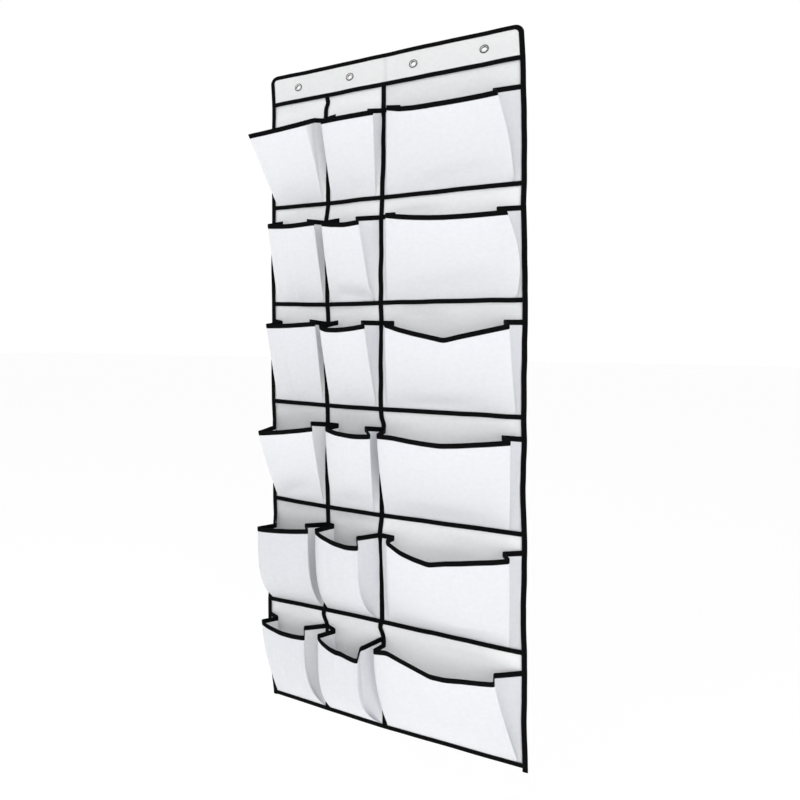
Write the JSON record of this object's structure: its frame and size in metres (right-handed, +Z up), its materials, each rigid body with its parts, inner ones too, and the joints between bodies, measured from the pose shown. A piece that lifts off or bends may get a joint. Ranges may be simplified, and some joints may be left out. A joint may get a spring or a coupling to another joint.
{
  "type": "over-door shoe organizer",
  "caption": "Hanging fabric shoe organizer: a bound white panel with rows of pleated open pockets in two narrow columns and one wide column, and eyelets along its header.",
  "frame": {"origin": "middle of the eyelet row, in the rear plane that lies against the door", "axes": "+X to the right of someone facing the pockets, +Y back into the door, +Z up; the pockets open towards -Y"},
  "size_m": [0.5727, 0.0866, 1.5],
  "materials": {
    "white_nonwoven": "matte",
    "black_tape": "matte",
    "eyelet_metal": "gloss",
    "stiffener_board": "matte"
  },
  "bodies": {
    "upper_panel": {"back_sheet_upper": "white_nonwoven", "header_facing": "white_nonwoven", "header_stiffener": "stiffener_board", "top_binding": "black_tape", "side_binding_left_upper": "black_tape", "side_binding_right_upper": "black_tape", "divider_tape_1_upper": "black_tape", "divider_tape_2_upper": "black_tape", "seam_tape_header": "black_tape", "seam_tape_row1": "black_tape", "seam_tape_row2": "black_tape", "seam_tape_row3": "black_tape", "row1_pleated_strip": "white_nonwoven", "row2_pleated_strip": "white_nonwoven", "row3_pleated_strip": "white_nonwoven", "eyelet_1": "eyelet_metal", "eyelet_2": "eyelet_metal", "eyelet_3": "eyelet_metal", "eyelet_4": "eyelet_metal", "eyelet_washer_1": "eyelet_metal", "eyelet_washer_2": "eyelet_metal", "eyelet_washer_3": "eyelet_metal", "eyelet_washer_4": "eyelet_metal"},
    "lower_panel": {"back_sheet_lower": "white_nonwoven", "side_binding_left_lower": "black_tape", "side_binding_right_lower": "black_tape", "bottom_binding": "black_tape", "divider_tape_1_lower": "black_tape", "divider_tape_2_lower": "black_tape", "seam_tape_row4": "black_tape", "seam_tape_row5": "black_tape", "row4_pleated_strip": "white_nonwoven", "row5_pleated_strip": "white_nonwoven", "row6_pleated_strip": "white_nonwoven"},
    "pocket_r1c1": {"pocket_r1c1_front": "white_nonwoven"},
    "pocket_r1c2": {"pocket_r1c2_front": "white_nonwoven"},
    "pocket_r1c3": {"pocket_r1c3_front": "white_nonwoven"},
    "pocket_r2c1": {"pocket_r2c1_front": "white_nonwoven"},
    "pocket_r2c2": {"pocket_r2c2_front": "white_nonwoven"},
    "pocket_r2c3": {"pocket_r2c3_front": "white_nonwoven"},
    "pocket_r3c1": {"pocket_r3c1_front": "white_nonwoven"},
    "pocket_r3c2": {"pocket_r3c2_front": "white_nonwoven"},
    "pocket_r3c3": {"pocket_r3c3_front": "white_nonwoven"},
    "pocket_r4c1": {"pocket_r4c1_front": "white_nonwoven"},
    "pocket_r4c2": {"pocket_r4c2_front": "white_nonwoven"},
    "pocket_r4c3": {"pocket_r4c3_front": "white_nonwoven"},
    "pocket_r5c1": {"pocket_r5c1_front": "white_nonwoven"},
    "pocket_r5c2": {"pocket_r5c2_front": "white_nonwoven"},
    "pocket_r5c3": {"pocket_r5c3_front": "white_nonwoven"},
    "pocket_r6c1": {"pocket_r6c1_front": "white_nonwoven"},
    "pocket_r6c2": {"pocket_r6c2_front": "white_nonwoven"},
    "pocket_r6c3": {"pocket_r6c3_front": "white_nonwoven"}
  },
  "joints": [
    {"name": "storage_fold", "type": "hinge", "parent": "upper_panel", "child": "lower_panel", "pos_m": [0, 0.001, -0.7593], "axis": [1, 0, 0], "range_deg": [0, 175]},
    {"name": "pocket_r1c1_open", "type": "hinge", "parent": "upper_panel", "child": "pocket_r1c1", "pos_m": [-0.20225, -0.0056, -0.2773], "axis": [1, 0, 0], "range_deg": [-22, 8], "stiffness_Nm_per_rad": 0.06, "springref_deg": -2.75, "deforming": ["row1_pleated_strip"]},
    {"name": "pocket_r1c2_open", "type": "hinge", "parent": "upper_panel", "child": "pocket_r1c2", "pos_m": [-0.07175, -0.0056, -0.2773], "axis": [1, 0, 0], "range_deg": [-14, 17], "stiffness_Nm_per_rad": 0.06, "springref_deg": -1.78, "deforming": ["row1_pleated_strip"]},
    {"name": "pocket_r1c3_open", "type": "hinge", "parent": "upper_panel", "child": "pocket_r1c3", "pos_m": [0.1305, -0.0056, -0.2773], "axis": [1, 0, 0], "range_deg": [-7, 18], "stiffness_Nm_per_rad": 0.12, "springref_deg": -1.66, "deforming": ["row1_pleated_strip"]},
    {"name": "pocket_r2c1_open", "type": "hinge", "parent": "upper_panel", "child": "pocket_r2c1", "pos_m": [-0.20225, -0.0056, -0.5123], "axis": [1, 0, 0], "range_deg": [-13, 16], "stiffness_Nm_per_rad": 0.06, "springref_deg": -1.95, "deforming": ["row2_pleated_strip"]},
    {"name": "pocket_r2c2_open", "type": "hinge", "parent": "upper_panel", "child": "pocket_r2c2", "pos_m": [-0.07175, -0.0056, -0.5123], "axis": [1, 0, 0], "range_deg": [-14, 17], "stiffness_Nm_per_rad": 0.06, "springref_deg": -1.78, "deforming": ["row2_pleated_strip"]},
    {"name": "pocket_r2c3_open", "type": "hinge", "parent": "upper_panel", "child": "pocket_r2c3", "pos_m": [0.1305, -0.0056, -0.5123], "axis": [1, 0, 0], "range_deg": [-10, 18], "stiffness_Nm_per_rad": 0.12, "springref_deg": -1.83, "deforming": ["row2_pleated_strip"]},
    {"name": "pocket_r3c1_open", "type": "hinge", "parent": "upper_panel", "child": "pocket_r3c1", "pos_m": [-0.20225, -0.0056, -0.7483], "axis": [1, 0, 0], "range_deg": [-13, 16], "stiffness_Nm_per_rad": 0.06, "springref_deg": -1.95, "deforming": ["row3_pleated_strip"]},
    {"name": "pocket_r3c2_open", "type": "hinge", "parent": "upper_panel", "child": "pocket_r3c2", "pos_m": [-0.07175, -0.0056, -0.7483], "axis": [1, 0, 0], "range_deg": [-13, 16], "stiffness_Nm_per_rad": 0.06, "springref_deg": -1.78, "deforming": ["row3_pleated_strip"]},
    {"name": "pocket_r3c3_open", "type": "hinge", "parent": "upper_panel", "child": "pocket_r3c3", "pos_m": [0.1305, -0.0056, -0.7483], "axis": [1, 0, 0], "range_deg": [-13, 15], "stiffness_Nm_per_rad": 0.12, "springref_deg": -2.01, "deforming": ["row3_pleated_strip"]},
    {"name": "pocket_r4c1_open", "type": "hinge", "parent": "lower_panel", "child": "pocket_r4c1", "pos_m": [-0.20225, -0.0056, -0.9843], "axis": [1, 0, 0], "range_deg": [-15, 12], "stiffness_Nm_per_rad": 0.06, "springref_deg": -2.35, "deforming": ["row4_pleated_strip"]},
    {"name": "pocket_r4c2_open", "type": "hinge", "parent": "lower_panel", "child": "pocket_r4c2", "pos_m": [-0.07175, -0.0056, -0.9843], "axis": [1, 0, 0], "range_deg": [-10, 13], "stiffness_Nm_per_rad": 0.06, "springref_deg": -1.78, "deforming": ["row4_pleated_strip"]},
    {"name": "pocket_r4c3_open", "type": "hinge", "parent": "lower_panel", "child": "pocket_r4c3", "pos_m": [0.1305, -0.0056, -0.9843], "axis": [1, 0, 0], "range_deg": [-12, 15], "stiffness_Nm_per_rad": 0.12, "springref_deg": -2.01, "deforming": ["row4_pleated_strip"]},
    {"name": "pocket_r5c1_open", "type": "hinge", "parent": "lower_panel", "child": "pocket_r5c1", "pos_m": [-0.20225, -0.0056, -1.2243], "axis": [1, 0, 0], "range_deg": [-14, 11], "stiffness_Nm_per_rad": 0.06, "springref_deg": -2.35, "deforming": ["row5_pleated_strip"]},
    {"name": "pocket_r5c2_open", "type": "hinge", "parent": "lower_panel", "child": "pocket_r5c2", "pos_m": [-0.07175, -0.0056, -1.2243], "axis": [1, 0, 0], "range_deg": [-10, 9], "stiffness_Nm_per_rad": 0.06, "springref_deg": -2.01, "deforming": ["row5_pleated_strip"]},
    {"name": "pocket_r5c3_open", "type": "hinge", "parent": "lower_panel", "child": "pocket_r5c3", "pos_m": [0.1305, -0.0056, -1.2243], "axis": [1, 0, 0], "range_deg": [-10, 15], "stiffness_Nm_per_rad": 0.12, "springref_deg": -1.89, "deforming": ["row5_pleated_strip"]},
    {"name": "pocket_r6c1_open", "type": "hinge", "parent": "lower_panel", "child": "pocket_r6c1", "pos_m": [-0.20225, -0.0056, -1.4523], "axis": [1, 0, 0], "range_deg": [-11, 16], "stiffness_Nm_per_rad": 0.06, "springref_deg": -1.83, "deforming": ["row6_pleated_strip"]},
    {"name": "pocket_r6c2_open", "type": "hinge", "parent": "lower_panel", "child": "pocket_r6c2", "pos_m": [-0.07175, -0.0056, -1.4523], "axis": [1, 0, 0], "range_deg": [-11, 12], "stiffness_Nm_per_rad": 0.06, "springref_deg": -1.95, "deforming": ["row6_pleated_strip"]},
    {"name": "pocket_r6c3_open", "type": "hinge", "parent": "lower_panel", "child": "pocket_r6c3", "pos_m": [0.1305, -0.0056, -1.4523], "axis": [1, 0, 0], "range_deg": [-11, 16], "stiffness_Nm_per_rad": 0.12, "springref_deg": -1.89, "deforming": ["row6_pleated_strip"]}
  ]
}
